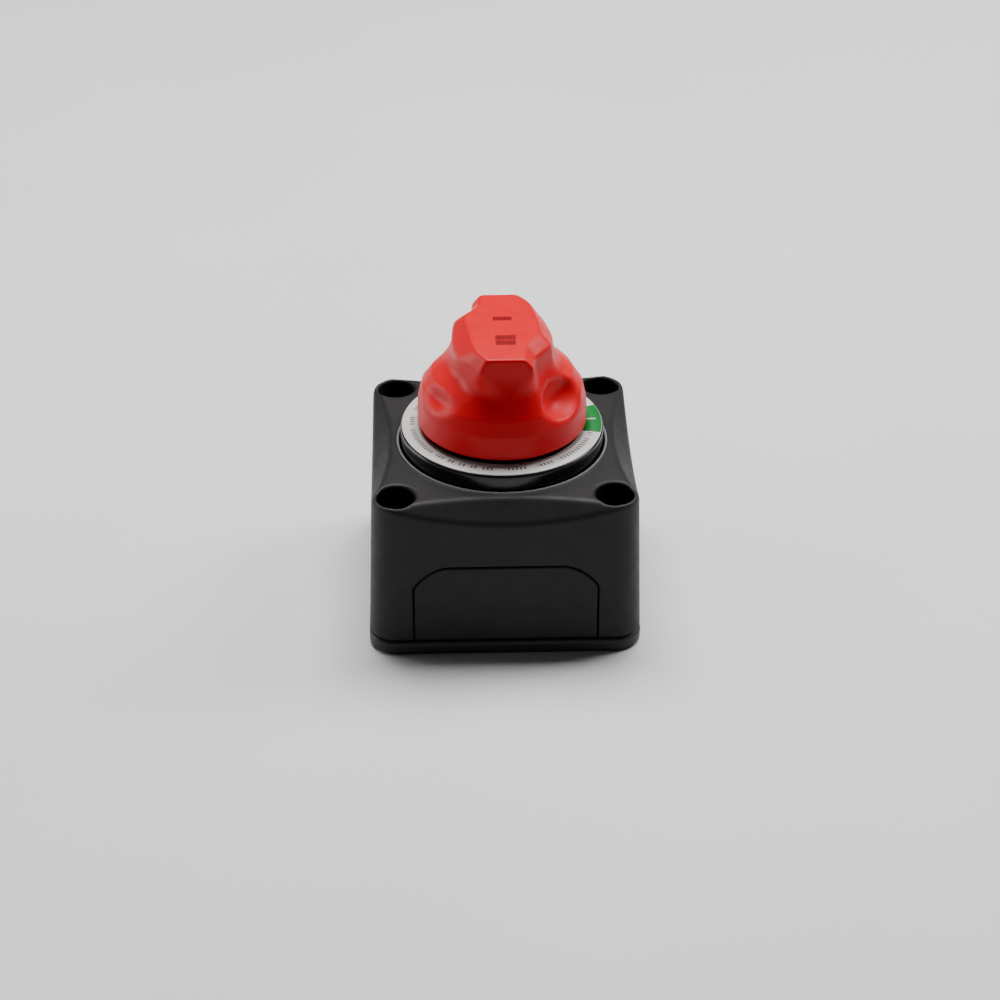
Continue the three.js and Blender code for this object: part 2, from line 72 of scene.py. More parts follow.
BASE_LOW, BASE_HIGH = node_box("base_plate")
HOUSING_LOW, HOUSING_HIGH = node_box("housing")
CASE_LOW, CASE_HIGH = node_box("switch_case")
LABEL_LOW, LABEL_HIGH = node_box("label_ring")
KNOB_LOW, KNOB_HIGH = node_box("knob")

BASE_HALF = BASE_HIGH[0]
BASE_TOP = 4.0
BODY_FOOT = HOUSING_LOW[2]
BODY_TOP = 43.0
BODY_HALF_TOP = 33.15
CORNER = 7.0
WALL = 2.6
CEILING = 37.5
HOLE_OFFSET = 27.0
HOLE_RADIUS = 2.75
WELL_RADIUS = 4.84
WELL_FLOOR = 9.0
POST_RADIUS = 6.6
DIAL_RADIUS = CASE_HIGH[0]
DIAL_TOP = 47.4
BEAD_RADIUS = DIAL_RADIUS + 0.75
KNOB_TOP = KNOB_HIGH[2]


# ---------------------------------------------------------------- distance functions
def soft_max(a, b, blend):
    """The larger of two distances, with the crease between them rounded over blend."""
    overlap = np.maximum(blend - np.abs(a - b), 0) / blend
    return np.maximum(a, b) + overlap * overlap * blend * 0.25


def soft_min(a, b, blend):
    return -soft_max(-a, -b, blend)


def square_prism(x, y, half, radius):
    """Distance to a square column with round corners. half may vary with height."""
    across = np.abs(x) - (half - radius)
    along = np.abs(y) - (half - radius)
    outside = np.hypot(np.maximum(across, 0), np.maximum(along, 0))
    return outside + np.minimum(np.maximum(across, along), 0) - radius


def slab(value, low, high):
    return np.maximum(low - value, value - high)


def block(x, y, z, low, high):
    upright = np.maximum(slab(x, low[0], high[0]), slab(y, low[1], high[1]))
    return np.maximum(upright, slab(z, low[2], high[2]))


def nearest_corner(x, y, offset):
    """Distance from the nearest of four vertical axes that stand on a square."""
    return np.hypot(np.abs(x) - offset, np.abs(y) - offset)


def surface_net(distance, low, high, cell):
    """Meshes the zero level of distance(x, y, z) inside a box, in mm, as vertices and quads.

    Blocks of four cells a side are tried at their centres first, and only those near the surface
    are sampled in full. Blends can put the field well off the true distance, so near is generous.
    """
    low = np.array(low, float)
    step = 4
    count = (np.ceil((np.array(high) - low) / (cell * step)).astype(int)) * step
    blocks = count // step
    centre = [low[a] + cell * (np.arange(blocks[a]) * step + (step - 1) / 2) for a in range(3)]
    bx, by, bz = np.meshgrid(*centre, indexing="ij")
    coarse = distance(bx, by, bz)
    reach = cell * step * 2.4
    values = np.repeat(np.repeat(np.repeat(coarse, step, 0), step, 1), step, 2).astype(np.float32)
    near = np.argwhere(np.abs(coarse) < reach)
    offset = np.stack(np.meshgrid(*[np.arange(step)] * 3, indexing="ij"), -1).reshape(-1, 3)
    fine = (near[:, None, :] * step + offset[None]).reshape(-1, 3)
    place = low + fine * cell
    values[fine[:, 0], fine[:, 1], fine[:, 2]] = distance(place[:, 0], place[:, 1], place[:, 2])

    inside = values < 0
    corners = [(i, j, k) for i in (0, 1) for j in (0, 1) for k in (0, 1)]
    shape = np.array(values.shape) - 1
    total = np.zeros(shape, np.int8)
    for i, j, k in corners:
        total += inside[i:shape[0] + i, j:shape[1] + j, k:shape[2] + k]
    cells = np.argwhere((total > 0) & (total < 8))
    index = np.full(shape, -1, np.int32)
    index[cells[:, 0], cells[:, 1], cells[:, 2]] = np.arange(len(cells))
    corner_values = {c: values[tuple((cells + c).T)] for c in corners}
    summed = np.zeros((len(cells), 3))
    crossings = np.zeros(len(cells))
    for first in corners:
        for axis in range(3):
            if first[axis]:
                continue
            second = tuple(1 if a == axis else first[a] for a in range(3))
            a, b = corner_values[first], corner_values[second]
            crossed = (a < 0) != (b < 0)
            share = np.where(crossed, a / np.where(crossed, a - b, 1), 0)
            point = np.array(first, float)[None] + share[:, None] * np.eye(3)[axis]
            summed += np.where(crossed[:, None], point, 0)
            crossings += crossed
    points = low + (cells + summed / crossings[:, None]) * cell

    quads = []
    for axis in range(3):
        one, two = [a for a in range(3) if a != axis]
        ahead = np.moveaxis(inside, axis, 0)
        flips = np.argwhere(ahead[1:] != ahead[:-1])
        grid = np.zeros((len(flips), 3), int)
        grid[:, axis], grid[:, one], grid[:, two] = flips[:, 0], flips[:, 1], flips[:, 2]
        usable = (grid[:, one] > 0) & (grid[:, two] > 0)
        usable &= (grid[:, one] < shape[one]) & (grid[:, two] < shape[two])
        grid = grid[usable]
        around = []
        for back_one, back_two in ((1, 1), (0, 1), (0, 0), (1, 0)):
            cell_at = grid.copy()
            cell_at[:, one] -= back_one
            cell_at[:, two] -= back_two
            around.append(index[tuple(cell_at.T)])
        quad = np.stack(around, 1)
        outward = inside[tuple(grid.T)]
        if axis == 1:
            outward = ~outward
        quad[~outward] = quad[~outward][:, ::-1]
        quads.append(quad)
    quads = np.concatenate(quads)
    return settle(distance, points, cell * 0.2), quads


def settle(distance, points, step, rounds=2):
    """Moves each point onto the surface, along the field's slope."""
    for _ in range(rounds):
        here = distance(*points.T)
        rise = [
            distance(*(points + nudge).T) - distance(*(points - nudge).T)
            for nudge in step * np.eye(3)
        ]
        slope = np.stack(rise, 1) / (2 * step)
        length = np.maximum((slope * slope).sum(1), 0.2)
        points = points - np.clip(here / length, -step, step)[:, None] * slope
    return points


# ---------------------------------------------------------------- making pieces
def mesh_piece(name, points, faces, material, body, replaces=(), smooth=True):
    """A piece from points in mm and its faces, riding on a body."""
    mesh = bpy.data.meshes.new(name)
    faces = np.asarray(faces)
    mesh.vertices.add(len(points))
    mesh.vertices.foreach_set("co", (np.asarray(points) * MM).astype(np.float32).ravel())
    sides = faces.shape[1]
    mesh.loops.add(faces.size)
    mesh.loops.foreach_set("vertex_index", faces.astype(np.int32).ravel())
    mesh.polygons.add(len(faces))
    mesh.polygons.foreach_set("loop_start", np.arange(0, faces.size, sides, dtype=np.int32))
    mesh.update(calc_edges=True)
    mesh.validate()
    mesh.polygons.foreach_set("use_smooth", np.full(len(mesh.polygons), smooth))
    piece = bpy.data.objects.new(name, mesh)
    bpy.context.scene.collection.objects.link(piece)
    piece.data.materials.append(material)
    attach(piece, body)
    if replaces:
        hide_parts(*replaces)
    return piece


def moulded(name, distance, box, cell, material, body, replaces):
    """A piece meshed from its distance function, with a margin of two cells round its box."""
    low, high = np.array(box[0]) - 2.2 * cell, np.array(box[1]) + 2.2 * cell
    points, quads = surface_net(distance, low, high, cell)
    return mesh_piece(name, points, quads, material, body, replaces)


def lathe(profile, segments=192):
    """Points and quads of a closed profile of (radius, height) pairs turned round the Z axis."""
    profile = np.array(profile, float)
    angle = np.linspace(0, 2 * math.pi, segments, endpoint=False)
    rows = len(profile)
    points = np.stack([
        (np.cos(angle)[:, None] * profile[:, 0]).ravel(),
        (np.sin(angle)[:, None] * profile[:, 0]).ravel(),
        np.tile(profile[:, 1], segments),
    ], 1)
    column, row = np.meshgrid(np.arange(segments), np.arange(rows), indexing="ij")
    ahead, above = (column + 1) % segments, (row + 1) % rows
    here, there = column * rows, ahead * rows
    quads = np.stack([here + row, there + row, there + above, here + above], -1)
    return points, quads.reshape(-1, 4)


# ---------------------------------------------------------------- materials
class Plan:
    """A small helper that adds nodes to one material."""

    def __init__(self, name):
        self.material = bpy.data.materials.new(name)
        self.material.use_nodes = True
        self.nodes = self.material.node_tree.nodes
        self.links = self.material.node_tree.links
        self.shader = self.nodes["Principled BSDF"]

    def add(self, kind, **values):
        node = self.nodes.new(kind)
        for key, value in values.items():
            if key in node.inputs:
                node.inputs[key].default_value = value
            else:
                setattr(node, key, value)
        return node

    def link(self, output, target):
        self.links.new(output, target)

    def noise(self, scale, detail=3.0, roughness=0.55):
        coordinates = self.add("ShaderNodeTexCoord")
        noise = self.add("ShaderNodeTexNoise", Scale=scale, Detail=detail, Roughness=roughness)
        self.link(coordinates.outputs["Object"], noise.inputs["Vector"])
        return noise.outputs["Fac"]

    def spread(self, value, low, high, start=0.3, end=0.7):
        """Maps a value between start and end to low and high."""
        node = self.add("ShaderNodeMapRange")
        for key, number in (("From Min", start), ("From Max", end), ("To Min", low), ("To Max", high)):
            node.inputs[key].default_value = number
        self.link(value, node.inputs["Value"])
        return node.outputs["Result"]

    def mix(self, factor, first, second):
        """A colour between two, each a colour or an output."""
        node = self.add("ShaderNodeMix", data_type="RGBA")
        sockets = {s.identifier: s for s in node.inputs}
        self.link(factor, sockets["Factor_Float"])
        for key, colour in (("A_Color", first), ("B_Color", second)):
            if hasattr(colour, "is_output"):
                self.link(colour, sockets[key])
            else:
                sockets[key].default_value = (*colour, 1)
        return next(s for s in node.outputs if s.identifier == "Result_Color")

    def math(self, operation, *values):
        node = self.add("ShaderNodeMath", operation=operation)
        for socket, value in zip(node.inputs, values):
            if hasattr(value, "is_output"):
                self.link(value, socket)
            else:
                socket.default_value = value
        return node.outputs[0]

    def axes(self):
        """The object's own X, Y and Z, in metres."""
        split = self.add("ShaderNodeSeparateXYZ")
        self.link(self.add("ShaderNodeTexCoord").outputs["Object"], split.inputs["Vector"])
        return split.outputs

    def radius(self):
        x, y, _ = self.axes()
        return self.math("SQRT", self.math("ADD", self.math("MULTIPLY", x, x), self.math("MULTIPLY", y, y)))

    def near(self, value, middle, half):
        """1 where a value lies within half of middle."""
        return self.math("COMPARE", value, middle, half)

    def both(self, *masks):
        whole = masks[0]
        for mask in masks[1:]:
            whole = self.math("MULTIPLY", whole, mask)
        return whole

    def paint(self, mask, colour, strength=1.0):
        """Lays a colour over the base colour where the mask is 1."""
        target = self.shader.inputs["Base Color"]
        below = target.links[0].from_socket
        self.link(self.mix(self.math("MULTIPLY", mask, strength), below, colour), target)

    def bump(self, height, distance, strength=0.5):
        node = self.add("ShaderNodeBump", Strength=strength, Distance=distance)
        self.link(height, node.inputs["Height"])
        self.link(node.outputs["Normal"], self.shader.inputs["Normal"])


def plastic_plan(name, colour, lighter, roughness, grain=9000, bump=0.00004, specular=0.5, edge_wear_and_highlight=0.01):
    """Moulded plastic: an even colour with faint clouds, a fine spark-eroded grain, and convex edges painted
    lighter, partly as wear and partly as a painted highlight.
    """
    plan = Plan(name)
    shader = plan.shader
    clouds = plan.spread(plan.noise(90, 4), 0, 0.5)
    body = plan.mix(clouds, colour, lighter)
    plan.link(body, shader.inputs["Base Color"])
    if edge_wear_and_highlight:
        # Convex edges, found by pointiness, are painted lighter: partly edge wear, partly a painted highlight
        # along the rounded edges.
        geometry = plan.add("ShaderNodeNewGeometry")
        worn_and_lit_edge = plan.spread(geometry.outputs["Pointiness"], 0, 1, 0.53, 0.62)
        plan.paint(worn_and_lit_edge, tuple(c * 1.2 + edge_wear_and_highlight for c in lighter))
    plan.link(plan.spread(plan.noise(260, 5), roughness - 0.06, roughness + 0.06), shader.inputs["Roughness"])
    shader.inputs["Specular IOR Level"].default_value = specular
    plan.bump(plan.noise(grain, 2, 0.6), bump, 0.6)
    return plan


def moulded_plastic(*values, **named):
    """Plain plastic, with the values that plastic_plan takes."""
    return plastic_plan(*values, **named).material


def housing_plastic():
    """The housing's plastic, with a painted highlight: a paler line along the crest of the bead round the
    dial's foot.
    """
    plan = plastic_plan("charcoal_plastic", (0.0115, 0.0107, 0.0102), (0.0165, 0.0154, 0.0146), 0.5,
                        specular=0.2)
    painted_highlight_ring = plan.near(plan.radius(), BEAD_RADIUS * MM, 0.3 * MM)
    at_top = plan.near(plan.axes()[2], 43.5 * MM, 0.35 * MM)
    # Painted highlight: the bead's crest is painted pale grey, standing in for light caught by the rounded
    # bead.
    plan.paint(plan.both(painted_highlight_ring, at_top), (0.16, 0.155, 0.15))
    return plan.material


def strokes(plan, along, pitch, share=0.0):
    """Bars across an axis, like the uprights in a line of small print."""
    wave = plan.math("SINE", plan.math("MULTIPLY", along, 2 * math.pi / pitch))
    return plan.math("GREATER_THAN", wave, share)


PRINT_RADIUS = 22.9 * MM


def label_plastic():
    """White film with a line of plain strokes round it, in groups."""
    plan = plastic_plan("label_film", (0.56, 0.55, 0.53), (0.5, 0.49, 0.47), 0.42, 4000, 0.00001, edge_wear_and_highlight=0)
    x, y, _ = plan.axes()
    angle = plan.math("ARCTAN2", y, x)
    fine = strokes(plan, angle, math.radians(2.6), -0.1)
    uneven = plan.math("SINE", plan.math("MULTIPLY", angle, 3.0))
    groups = strokes(plan, plan.math("ADD", angle, uneven), math.radians(30), -0.55)
    line = plan.near(plan.radius(), PRINT_RADIUS, 0.62 * MM)
    plan.paint(plan.both(fine, groups, line), (0.03, 0.029, 0.028), 0.85)
    return plan.material


def field_print(name, colour, lighter, angle, closed):
    """A printed field with a white sign in its middle: a ring for open, a bar for closed."""
    plan = plastic_plan(name, colour, lighter, 0.4, 4000, 0.00001, edge_wear_and_highlight=0)
    x, y, _ = plan.axes()
    aside = plan.math("SUBTRACT", x, PRINT_RADIUS * math.cos(angle))
    ahead = plan.math("SUBTRACT", y, PRINT_RADIUS * math.sin(angle))
    if closed:
        sign = plan.both(plan.near(aside, 0, 1.1 * MM), plan.near(ahead, 0, 0.28 * MM))
    else:
        across = plan.math("ADD", plan.math("MULTIPLY", aside, aside), plan.math("MULTIPLY", ahead, ahead))
        sign = plan.near(plan.math("SQRT", across), 0.95 * MM, 0.24 * MM)
    plan.paint(sign, (0.6, 0.6, 0.58), 0.8)
    return plan.material


# The two blocks of print on the grip's top: middle, half size and lines of strokes.
GRIP_PRINTS = (
    ((0.0001, 0.003), (0.0024, 0.0011), 1),
    ((0.0006, -0.008), (0.0025, 0.0025), 2),
)


def knob_plastic():
    """Red plastic with two small dark blocks of strokes printed on the grip's top."""
    plan = plastic_plan("red_plastic", (0.58, 0.0, 0.007), (0.64, 0.0005, 0.009), 0.4, 6000, 0.00002,
                        specular=0.16, edge_wear_and_highlight=0)
    x, y, z = plan.axes()
    on_top = plan.math("GREATER_THAN", z, 75.1 * MM)
    for middle, half, lines in GRIP_PRINTS:
        inside = plan.both(plan.near(x, middle[0], half[0]), plan.near(y, middle[1], half[1]), on_top)
        plan.paint(inside, (0.12, 0.001, 0.003), 0.55)
        row = half[1] / lines
        for line in range(lines):
            height = middle[1] - half[1] + row * (2 * line + 1)
            marks = plan.both(inside, strokes(plan, x, 0.0005), plan.near(y, height, row * 0.7))
            plan.paint(marks, (0.03, 0.0, 0.001), 0.8)
    return plan.material


def metal(name, colour, darker, roughness, stretch=(1, 1, 1), scale=900):
    """Plated or turned metal with faint tool marks and dull patches."""
    plan = Plan(name)
    shader = plan.shader
    coordinates = plan.add("ShaderNodeTexCoord")
    mapping = plan.add("ShaderNodeMapping")
    mapping.inputs["Scale"].default_value = stretch
    plan.link(coordinates.outputs["Object"], mapping.inputs["Vector"])
    marks = plan.add("ShaderNodeTexNoise", Scale=scale, Detail=4.0)
    plan.link(mapping.outputs["Vector"], marks.inputs["Vector"])
    dull = plan.noise(160, 4)
    plan.link(plan.mix(plan.spread(dull, 0, 0.8), colour, darker), shader.inputs["Base Color"])
    plan.link(plan.spread(dull, roughness - 0.07, roughness + 0.1), shader.inputs["Roughness"])
    shader.inputs["Metallic"].default_value = 1.0
    plan.bump(marks.outputs["Fac"], 0.00003, 0.5)
    return plan.material


# The green field lies round this angle, and the red one a quarter turn further.
FIELD_MIDDLE = math.radians(3)
FIELD_HALF_ANGLE = math.radians(16)

HOUSING = housing_plastic()
BASE = moulded_plastic("black_plastic", (0.016, 0.0155, 0.015), (0.022, 0.0215, 0.021), 0.45, specular=0.3)
DIAL = moulded_plastic("gloss_black", (0.004, 0.004, 0.0045), (0.007, 0.007, 0.0075), 0.22,
                       bump=0.00001, specular=0.4)
RED = knob_plastic()
LABEL = label_plastic()
GREEN = field_print("green_print", (0.003, 0.16, 0.026), (0.005, 0.2, 0.032), FIELD_MIDDLE, True)
PRINT_RED = field_print("red_print", (0.55, 0.004, 0.006), (0.6, 0.008, 0.01),
                        FIELD_MIDDLE + math.pi / 2, False)
PHENOLIC = moulded_plastic("natural_moulding", (0.2, 0.14, 0.07), (0.25, 0.18, 0.1), 0.55)
NYLON = moulded_plastic("natural_nylon", (0.66, 0.64, 0.56), (0.7, 0.68, 0.6), 0.45)
RUBBER = moulded_plastic("black_rubber", (0.012, 0.012, 0.012), (0.02, 0.02, 0.02), 0.8, 3000, 0.00005)
COPPER = metal("copper", (0.72, 0.33, 0.19), (0.5, 0.22, 0.13), 0.3, (1, 8, 1))
TIN = metal("tinned_copper", (0.62, 0.61, 0.58), (0.45, 0.45, 0.44), 0.34)
BRASS = metal("brass", (0.68, 0.5, 0.2), (0.5, 0.36, 0.15), 0.3, (1, 1, 12))
STEEL = metal("plated_steel", (0.56, 0.57, 0.58), (0.4, 0.41, 0.43), 0.28)
SPRING_STEEL = metal("spring_steel", (0.4, 0.4, 0.41), (0.28, 0.28, 0.3), 0.32)


# ---------------------------------------------------------------- housing
def body_half(z):
    """Half the housing's width, which narrows with height."""
    return BASE_HALF + (BODY_HALF_TOP - BASE_HALF) * z / BODY_TOP


WINDOW_HALF = 23.0
WINDOW_TOP = 25.5
SHOULDER_CENTRE = (12.4, 13.8)
SHOULDER_RADIUS = 12.0


def window_outline(along, z, margin):
    """Distance in the wall's own plane to the arched cable window, grown by margin."""
    sides = np.abs(along) - WINDOW_HALF - margin
    crown = z - WINDOW_TOP - margin
    shoulder = np.hypot(np.abs(along) - SHOULDER_CENTRE[0], z - SHOULDER_CENTRE[1]) - SHOULDER_RADIUS - margin
    in_corner = (np.abs(along) > SHOULDER_CENTRE[0]) & (z > SHOULDER_CENTRE[1])
    return np.where(in_corner, np.maximum(shoulder, np.maximum(sides, crown)), np.maximum(sides, crown))


SCOOP_RADIUS = 135.0
SCOOP_REACH = 4.9
SCOOP_RISE = SCOOP_RADIUS * math.sqrt(0.5)


def edge_scoop(across, along, z):
    """The hollow along one top edge: the flank of a wide drum tipped by 45 degrees."""
    out = across + BODY_HALF_TOP - SCOOP_REACH + SCOOP_RISE
    up = z - BODY_TOP - SCOOP_RISE
    return SCOOP_RADIUS - np.hypot(along, (out - up) * math.sqrt(0.5))


GAP = 0.3
PLATE_DEPTH = 3.0
BEAD_WIRE = 0.35
WELL_WALL = 0.6


def housing_distance(x, y, z):
    """A drafted shell with scooped edges, posts round its screw wells and a window in each wall."""
    wall = square_prism(x, y, body_half(z), CORNER)
    shape = soft_max(wall, z - BODY_TOP, 1.6)
    shape = soft_max(shape, BODY_FOOT - z, 0.5)
    for across, along in ((y, x), (-x, y), (-y, x), (x, y)):
        shape = soft_max(shape, edge_scoop(across, along, z), 0.7)
    bead = np.hypot(np.hypot(x, y) - BEAD_RADIUS, z - BODY_TOP) - BEAD_WIRE
    shape = soft_min(shape, bead, 0.3)
    corner = nearest_corner(x, y, HOLE_OFFSET)
    post = corner - POST_RADIUS
    inner = square_prism(x, y, body_half(z) - WALL, CORNER - WALL)
    cavity = soft_max(np.maximum(inner, z - CEILING), -post, 0.8)
    shape = soft_max(shape, -cavity, 0.5)
    well = np.maximum(corner - WELL_RADIUS, WELL_FLOOR - z)
    shape = soft_max(shape, -well, 0.9)
    shape = soft_max(shape, HOLE_RADIUS - corner, 0.4)
    shape = soft_max(shape, DIAL_RADIUS + GAP - np.hypot(x, y), 0.35)
    width = body_half(z)
    for across, along in ((-y, x), (x, y), (y, x), (-x, y)):
        opening = np.maximum(window_outline(along, z, GAP), width - PLATE_DEPTH - GAP - across)
        opening = np.maximum(opening, WELL_RADIUS + WELL_WALL - corner)
        shape = soft_max(shape, -opening, 0.3)
    return shape


TONGUE_HALF = 19.0
TONGUE_RISE = 1.8


def side_plate_distance(x, y, z):
    """The plate in the front wall: a flush arched face and a wider tongue behind the wall."""
    depth = body_half(z) + y
    face = soft_max(window_outline(x, z, 0), slab(depth, 0.15, PLATE_DEPTH), 0.5)
    tongue = np.maximum(slab(x, -TONGUE_HALF, TONGUE_HALF), slab(depth, WALL + GAP, WALL + 1.6))
    tongue = soft_max(tongue, z - WINDOW_TOP - TONGUE_RISE, 0.5)
    return soft_max(soft_min(face, tongue, 0.3), BODY_FOOT - z, 0.4)


RIB_LOW = (-15.0, -29.7, 3.0)
RIB_HIGH = (15.0, -28.3, 7.0)
POCKET_SPAN = (2.0, 21.0)
POCKET_DEPTH = 0.8


def base_distance(x, y, z):
    """The rear cover: a plate with a rib inside each wall and four shallow pockets underneath."""
    edge = square_prism(x, y, BASE_HALF, CORNER)
    plate = soft_max(edge, slab(z, 0, BASE_TOP), 1.1)
    for across, along in ((y, x), (x, y), (-y, x), (-x, y)):
        plate = soft_min(plate, block(along, across, z, RIB_LOW, RIB_HIGH), 0.5)
    pocket = np.maximum(slab(np.abs(x), *POCKET_SPAN), slab(np.abs(y), *POCKET_SPAN))
    plate = soft_max(plate, -np.maximum(pocket, z - POCKET_DEPTH), 0.4)
    corner = nearest_corner(x, y, HOLE_OFFSET)
    return soft_max(plate, HOLE_RADIUS - corner, 0.5)


def make_casing():
    moulded("housing_shell", housing_distance, (HOUSING_LOW, HOUSING_HIGH + 0.4), 0.5,
            HOUSING, "root", ["housing"])
    low, high = node_box("side_plate_front")
    low, high = np.array(low) - 0.2, np.array(high) + 0.2
    points, quads = surface_net(side_plate_distance, low - 0.8, high + 0.8, 0.32)
    for turn, side in enumerate(SIDES):
        angle = turn * math.pi / 2
        rotation = np.array(Matrix.Rotation(angle, 3, "Z"))
        mesh_piece(f"cable_plate_{side}", points @ rotation.T, quads, HOUSING, "root",
                   [f"side_plate_{side}"])
    moulded("rear_cover", base_distance, (BASE_LOW, BASE_HIGH), 0.42,
            BASE, "root", ["base_plate"])


# ---------------------------------------------------------------- dial and its label
CASE_FOOT = 29.6
COLLAR_RADIUS = 9.0
COLLAR_TOP = 48.4
SHAFT_BORE = 6.3
CHAMBER_RADIUS = 23.3
CHAMBER_TOP = 45.2
EAR_OFFSET = 19.8
EAR_RADIUS = 3.2
EAR_TOP = 37.2
EAR_HOLE = 1.75
DETENT_BLOCK_LOW = (15.6, -4.2, 35.6)
DETENT_BLOCK_HIGH = (23.9, 4.2, 45.6)
DETENT_HEIGHT = 39.2
DETENT_BORE = 2.6
DETENT_BORE_END = 23.1


def dial_distance(x, y, z):
    """The switch case: a cup open at the bottom, with four screw ears and two detent pockets."""
    radius = np.hypot(x, y)
    ear = nearest_corner(x, y, EAR_OFFSET)
    outer = soft_max(radius - DIAL_RADIUS, z - DIAL_TOP, 0.8)
    collar = soft_max(radius - COLLAR_RADIUS, z - COLLAR_TOP, 0.4)
    shape = soft_min(outer, collar, 0.4)
    shape = np.maximum(shape, CASE_FOOT - z)
    shape = soft_min(shape, np.maximum(ear - EAR_RADIUS, slab(z, CASE_FOOT, EAR_TOP)), 0.5)
    shape = soft_max(shape, -np.maximum(radius - CHAMBER_RADIUS, z - CHAMBER_TOP), 0.5)
    shape = soft_min(shape, block(np.abs(x), y, z, DETENT_BLOCK_LOW, DETENT_BLOCK_HIGH), 0.5)
    bore = np.maximum(np.hypot(y, z - DETENT_HEIGHT) - DETENT_BORE, np.abs(x) - DETENT_BORE_END)
    shape = soft_max(shape, -bore, 0.3)
    shape = soft_max(shape, SHAFT_BORE - radius, 0.3)
    return np.maximum(shape, EAR_HOLE - ear)


RING_BORE = 20.3
RING_BEVEL = 0.06
PRINT_LIFT = 0.03
PRINT_THICKNESS = 0.02


def arc_patch(inner, outer, start, end, height, steps=48):
    """A thin printed field: a closed slab over part of the label ring."""
    angle = np.linspace(start, end, steps)
    under = height - PRINT_THICKNESS
    rows = [(inner, height), (outer, height), (outer, under), (inner, under)]
    points = np.array([(r * math.cos(a), r * math.sin(a), z) for a in angle for r, z in rows])
    quads = []
    for i in range(steps - 1):
        for row in range(4):
            here, there = i * 4, (i + 1) * 4
            after = (row + 1) % 4
            quads.append((here + row, here + after, there + after, there + row))
    quads.append((3, 2, 1, 0))
    last = (steps - 1) * 4
    quads.append((last, last + 1, last + 2, last + 3))
    return points, np.array(quads)[:, ::-1]


def joined(parts):
    """Several point and face lists as one."""
    points, faces, start = [], [], 0
    for part_points, part_faces in parts:
        points.append(part_points)
        faces.append(np.asarray(part_faces) + start)
        start += len(part_points)
    return np.concatenate(points), np.concatenate(faces)


def make_dial():
    moulded("dial_case", dial_distance, (CASE_LOW, CASE_HIGH), 0.36,
            DIAL, "root", ["switch_case"])
    inner, outer = RING_BORE, LABEL_HIGH[0]
    low, high = LABEL_LOW[2], LABEL_HIGH[2] - PRINT_LIFT
    bevelled = high - RING_BEVEL
    ring = [(inner, low), (outer, low), (outer, bevelled), (outer - RING_BEVEL, high),
            (inner + RING_BEVEL, high), (inner, bevelled)]
    points, quads = lathe(ring, 256)
    mesh_piece("label_film", points, quads, LABEL, "root", ["label_ring"])
    top = LABEL_HIGH[2]
    start, end = FIELD_MIDDLE - FIELD_HALF_ANGLE, FIELD_MIDDLE + FIELD_HALF_ANGLE
    for name, turn, material in (("label_field_on", 0, GREEN), ("label_field_off", math.pi / 2, PRINT_RED)):
        points, quads = arc_patch(inner + 0.25, outer - 0.1, start + turn, end + turn, top - 0.012)
        mesh_piece(name, points, quads, material, "root")


# ---------------------------------------------------------------- knob
# Corners of the grip's half outline, from its near end round its right side: where the chamfer
# starts on the flank, and the top's edge. The other half is the same turned by 180 degrees.
FLANK = [(7.2, -17.5, 72.8), (7.5, -12.8, 73.0), (12.5, -6.0, 73.4), (13.1, -0.5, 72.0), (12.9, 4.5, 72.0),
         (11.2, 9.9, 71.6), (6.1, 17.6, 71.0)]
EDGE = [(4.7, -17.5), (5.9, -9.6), (9.0, -6.1), (10.2, -1.0), (9.9, 5.0), (8.1, 11.7), (4.2, 17.5)]
GRIP_REACH = 17.5
CROWN_DROP = 0.7
# The finger hollows in the dome, each with a twin: centre and radii.
HOLLOWS = [((18.4, -15.2, 62.6), (9.6, 9.6, 6.2)), ((-26.4, -15.8, 60.8), (12.6, 12.6, 4.4))]
HOLLOW_LIP = 1.2
DOME = [(0, 67.6), (13.0, 67.4), (17.8, 63.2), (20.3, 59.6), (21.3, 55.5), (21.5, 49.3)]


def crown(y):
    """Height of the grip's top, which falls a little towards its ends."""
    return KNOB_TOP - CROWN_DROP * (y / GRIP_REACH) ** 2


def plane_through(a, b, c):
    """Unit normal and offset of the plane through three points, facing away from the Z axis."""
    a, b, c = np.array(a, float), np.array(b, float), np.array(c, float)
    normal = np.cross(b - a, c - a)
    normal /= np.linalg.norm(normal)
    if normal @ (a * (1, 1, 0)) < 0:
        normal = -normal
    return normal, normal @ a


def grip_facets():
    """For each side of the outline, its upright wall and its chamfer as planes."""
    flank = FLANK + [(-x, -y, z) for x, y, z in FLANK]
    edge = [(x, y, crown(y)) for x, y in EDGE + [(-x, -y) for x, y in EDGE]]
    facets = []
    for i in range(len(flank)):
        here, after = flank[i], flank[(i + 1) % len(flank)]
        below = (here[0], here[1], here[2] - 10)
        wall = plane_through(here, after, below)
        chamfer = plane_through(here, after, np.add(edge[i], edge[(i + 1) % len(edge)]) / 2)
        facets.append((wall, chamfer))
    return facets


FACETS = grip_facets()
HALF = len(FLANK)


def above_plane(x, y, z, plane):
    (a, b, c), offset = plane
    return a * x + b * y + c * z - offset


def grip_side(x, y, z, number):
    """Distance from one side of the outline: its wall and its chamfer together."""
    wall, chamfer = FACETS[number]
    return soft_max(above_plane(x, y, z, wall), above_plane(x, y, z, chamfer), 0.5)


def grip_distance(x, y, z):
    """The grip bar. Each half has a waist where its first two sides meet, and is convex elsewhere."""
    top = z - crown(y)
    rounding = 0.7 + 1.2 * np.clip(71 - z, 0, 7)
    shape = None
    for start in (0, HALF):
        hollow = soft_min(grip_side(x, y, z, start), grip_side(x, y, z, start + 1), 0.8)
        curved = grip_side(x, y, z, start + 2)
        for number in (3, 4):
            curved = soft_max(curved, grip_side(x, y, z, start + number), 1.6)
        curved = soft_max(curved, grip_side(x, y, z, start + 5), rounding)
        end = grip_side(x, y, z, start + HALF - 1)
        side = soft_max(soft_max(hollow, curved, 0.6), end, rounding)
        shape = side if shape is None else soft_max(shape, side, rounding)
    return soft_max(shape, top, 0.6)


